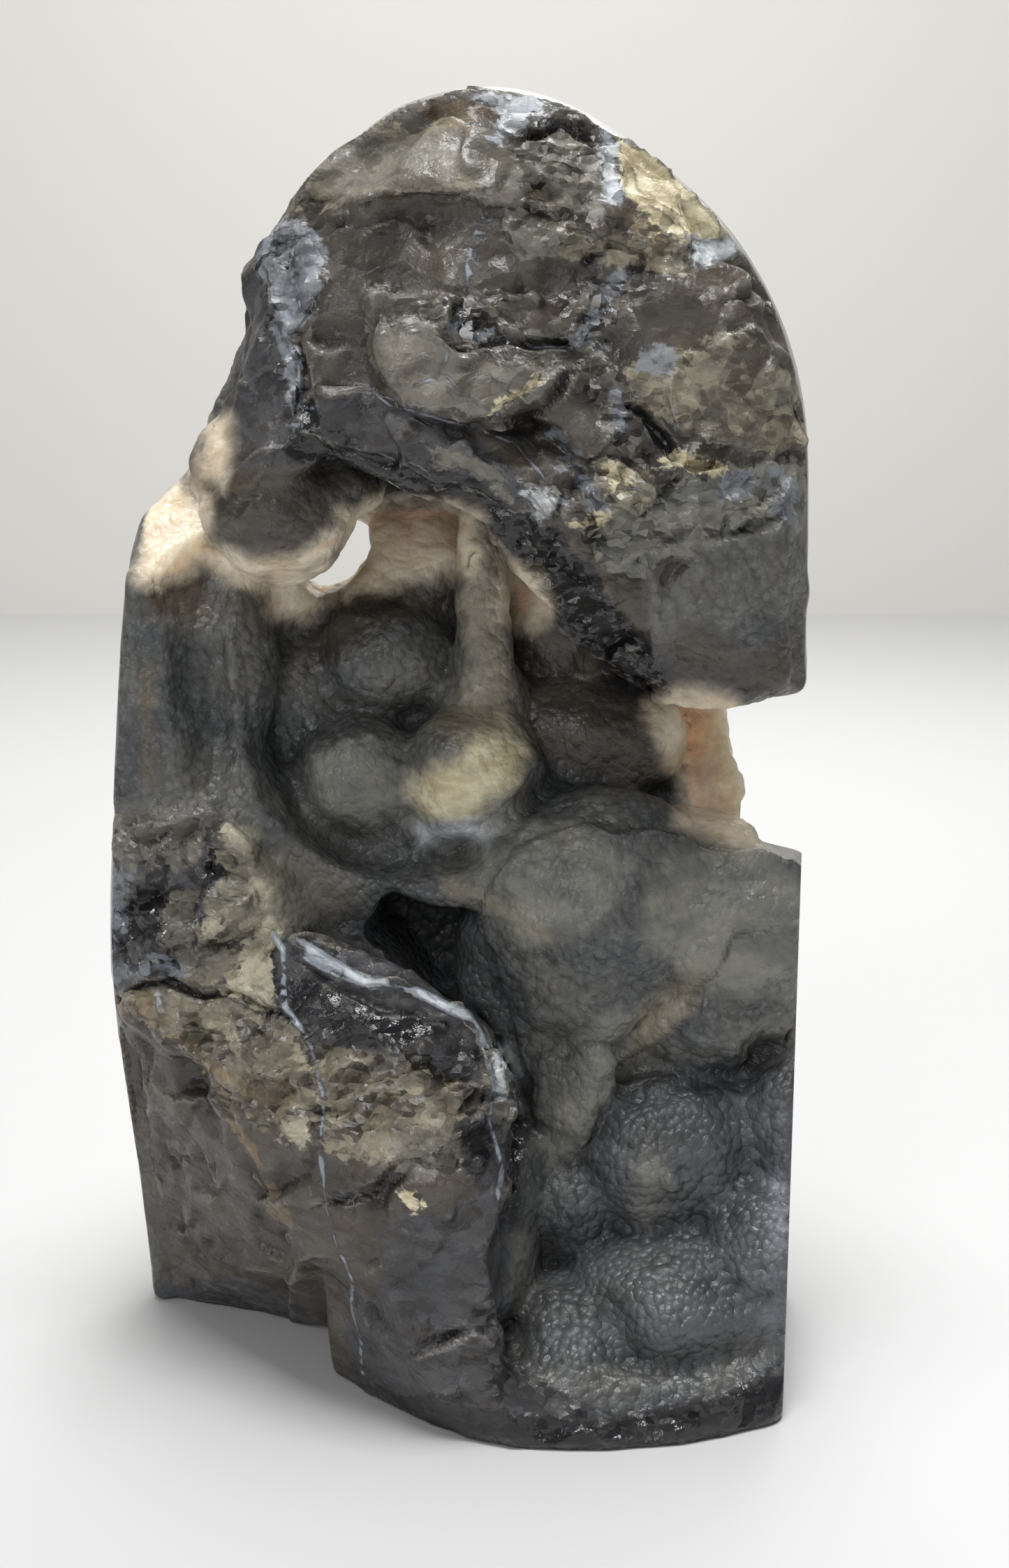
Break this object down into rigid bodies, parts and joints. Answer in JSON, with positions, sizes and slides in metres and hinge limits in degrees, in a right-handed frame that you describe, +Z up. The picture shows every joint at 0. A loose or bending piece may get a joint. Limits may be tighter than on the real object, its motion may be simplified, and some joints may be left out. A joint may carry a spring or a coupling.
{
  "type": "agate freeform",
  "caption": "Upright agate freeform: rough front with an overhanging brow and a druzy cave, polished domed back, sawn flat base.",
  "frame": {"origin": "on the sawn base's plane, under the middle of the stone's arch", "axes": "+Z up from the sawn base, +Y towards the polished back, +X to the right seen from the rough front"},
  "size_m": [0.0865, 0.054, 0.15],
  "materials": {
    "agate": "grey-green and brown chalcedony, rough and druzy in front, polished at the back"
  },
  "bodies": {
    "root": {"agate_stone": "agate"}
  },
  "joints": []
}
